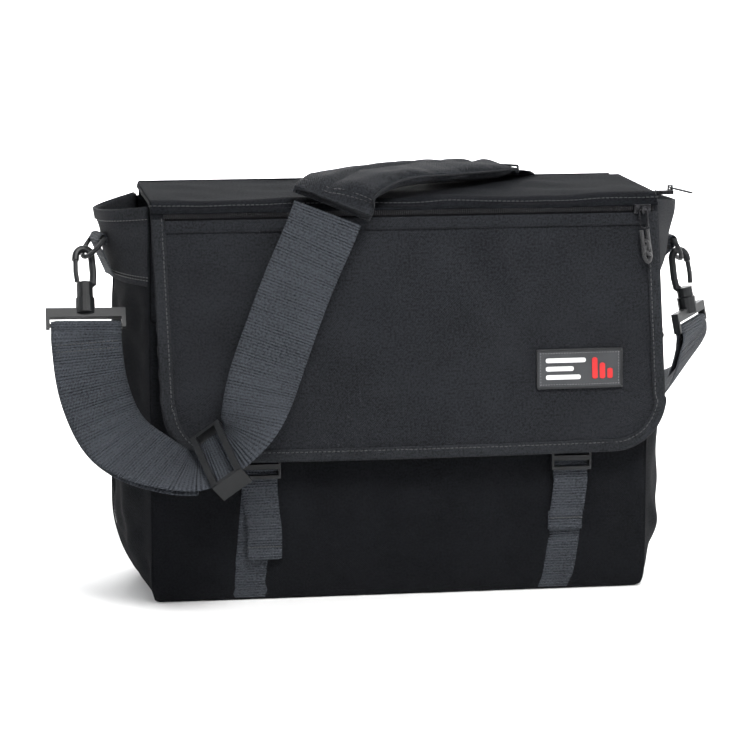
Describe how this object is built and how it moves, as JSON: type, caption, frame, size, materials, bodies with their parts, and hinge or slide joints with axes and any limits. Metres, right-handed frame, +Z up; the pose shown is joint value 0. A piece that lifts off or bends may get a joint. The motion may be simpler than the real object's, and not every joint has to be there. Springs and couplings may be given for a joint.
{
  "type": "messenger bag",
  "caption": "Soft messenger bag with a full front flap, shoulder strap on snap hooks, expansion zip and webbing buckle closures.",
  "frame": {"origin": "centre of the underside of the base", "axes": "+X to the right of the front view, along the bag's width; +Y from the front panel to the back panel; +Z up"},
  "size_m": [0.5053, 0.264, 0.3101],
  "materials": {
    "cordura": "matt woven",
    "lining": "matt woven",
    "webbing": "ribbed webbing",
    "binding": "grosgrain",
    "hardware": "moulded satin",
    "zip_metal": "black painted",
    "zip_tape": "matt",
    "cord": "braided",
    "rubber": "matt moulded",
    "board": "matt"
  },
  "bodies": {
    "bag": {"front_panel": "cordura", "front_pocket_panel": "cordura", "back_panel": "cordura", "gusset_front_left": "cordura", "gusset_front_right": "cordura", "gusset_rear_left": "cordura", "gusset_rear_right": "cordura", "base_front": "cordura", "base_rear": "cordura", "base_board": "board", "laptop_divider": "lining", "ear_panel_left": "cordura", "ear_panel_right": "cordura", "main_zip_tape_front": "zip_tape", "main_zip_tape_back": "zip_tape", "expansion_zip": "zip_tape", "strap_left_run": "webbing", "strap_rear_run": "webbing", "tab_left": "webbing", "tab_right": "webbing", "strap_loop_left": "hardware", "strap_loop_right": "hardware", "closure_strap_left": "webbing", "closure_strap_right": "webbing"},
    "flap": {"flap_shell": "cordura", "flap_binding": "binding", "flap_storm_cover": "cordura", "flap_zip_chain": "zip_tape", "label_patch": "rubber", "strap_front_run": "webbing", "strap_loop_inner": "webbing", "shoulder_pad": "cordura", "buckle_female_left": "hardware", "buckle_female_right": "hardware", "closure_tab_left": "webbing", "closure_tab_right": "webbing"},
    "flap_zip_slider": {"flap_zip_slider": "zip_metal"},
    "flap_zip_pull": {"flap_zip_puller": "zip_metal", "flap_zip_cord": "cord"},
    "main_zip_slider": {"main_zip_slider": "zip_metal"},
    "main_zip_pull": {"main_zip_puller": "zip_metal"},
    "tri_glide": {"tri_glide": "hardware"},
    "expansion_slider_upper": {"expansion_slider_upper": "zip_metal"},
    "expansion_pull_upper": {"expansion_puller_upper": "zip_metal", "expansion_cord_upper": "cord"},
    "expansion_slider_lower": {"expansion_slider_lower": "zip_metal"},
    "expansion_pull_lower": {"expansion_puller_lower": "zip_metal", "expansion_cord_lower": "cord"},
    "buckle_left": {"buckle_male_left": "hardware", "closure_tail_left": "webbing"},
    "ring_left": {"d_ring_left": "hardware"},
    "hook_left": {"hook_left": "hardware"},
    "gate_left": {"hook_gate_left": "hardware"},
    "buckle_right": {"buckle_male_right": "hardware", "closure_tail_right": "webbing"},
    "ring_right": {"d_ring_right": "hardware"},
    "hook_right": {"hook_right": "hardware"},
    "gate_right": {"hook_gate_right": "hardware"}
  },
  "joints": [
    {"name": "flap_hinge", "type": "hinge", "parent": "bag", "child": "flap", "pos_m": [0, 0.0605, 0.2865], "axis": [-1, 0, 0], "range_deg": [0, 105]},
    {"name": "flap_zip_slide", "type": "slide", "parent": "flap", "child": "flap_zip_slider", "axis": [-1, 0, 0], "range_m": [0, 0.31]},
    {"name": "flap_zip_pull_swing", "type": "hinge", "parent": "flap_zip_slider", "child": "flap_zip_pull", "pos_m": [0.174, -0.07353, 0.2808], "axis": [-1, 0, 0], "range_deg": [0, 75]},
    {"name": "main_zip_slide", "type": "slide", "parent": "bag", "child": "main_zip_slider", "axis": [-1, 0, 0], "range_m": [0, 0.006]},
    {"name": "main_zip_pull_swing", "type": "hinge", "parent": "main_zip_slider", "child": "main_zip_pull", "pos_m": [0.214, 0.009, 0.2868], "axis": [0, -1, 0], "range_deg": [0, 110]},
    {"name": "expansion_slide_upper", "type": "slide", "parent": "bag", "child": "expansion_slider_upper", "axis": [0, 0, 1], "range_m": [0, 0.008]},
    {"name": "expansion_slide_lower", "type": "slide", "parent": "bag", "child": "expansion_slider_lower", "axis": [0, 0, -1], "range_m": [0, 0.11]},
    {"name": "expansion_pull_swing_upper", "type": "hinge", "parent": "expansion_slider_upper", "child": "expansion_pull_upper", "pos_m": [0.2073, 0.0176, 0.205], "axis": [0, -1, 0], "range_deg": [0, 20]},
    {"name": "expansion_pull_swing_lower", "type": "hinge", "parent": "expansion_slider_lower", "child": "expansion_pull_lower", "pos_m": [0.2073, 0.0266, 0.188], "axis": [0, -1, 0], "range_deg": [0, 20]},
    {"name": "tri_glide_slide", "type": "slide", "parent": "flap", "child": "tri_glide", "axis": [0.8025, -0.1189, 0.5847], "range_m": [-0.002, 0.003]},
    {"name": "buckle_slide_left", "type": "slide", "parent": "bag", "child": "buckle_left", "axis": [0, 0, 1], "range_m": [0, 0.018]},
    {"name": "buckle_slide_right", "type": "slide", "parent": "bag", "child": "buckle_right", "axis": [0, 0, 1], "range_m": [0, 0.018]},
    {"name": "d_ring_swing_left", "type": "hinge", "parent": "bag", "child": "ring_left", "pos_m": [-0.2125, -0.007, 0.26], "axis": [0.2201, -0.9755, 0], "range_deg": [-0.5, 2]},
    {"name": "hook_swivel_left", "type": "hinge", "parent": "bag", "child": "hook_left", "pos_m": [-0.22432, -0.02835, 0.21799], "axis": [-0.0149, -0.554, -0.8324], "range_deg": [-8, 8]},
    {"name": "gate_swing_left", "type": "hinge", "parent": "hook_left", "child": "gate_left", "pos_m": [-0.22931, -0.02059, 0.22965], "axis": [0, 0.8325, -0.5541], "range_deg": [0, 15], "stiffness_Nm_per_rad": 0.02, "springref_deg": -17.19},
    {"name": "d_ring_swing_right", "type": "hinge", "parent": "bag", "child": "ring_right", "pos_m": [0.2145, 0.015, 0.248], "axis": [-0.1005, 0.9949, 0], "range_deg": [-0.5, 2]},
    {"name": "hook_swivel_right", "type": "hinge", "parent": "bag", "child": "hook_right", "pos_m": [0.22887, 0.01455, 0.2033], "axis": [0.1774, -0.046, -0.9831], "range_deg": [-8, 8]},
    {"name": "gate_swing_right", "type": "hinge", "parent": "hook_right", "child": "gate_right", "pos_m": [0.23227, 0.01504, 0.21376], "axis": [0, -0.9989, 0.0468], "range_deg": [0, 15], "stiffness_Nm_per_rad": 0.02, "springref_deg": -17.19}
  ]
}
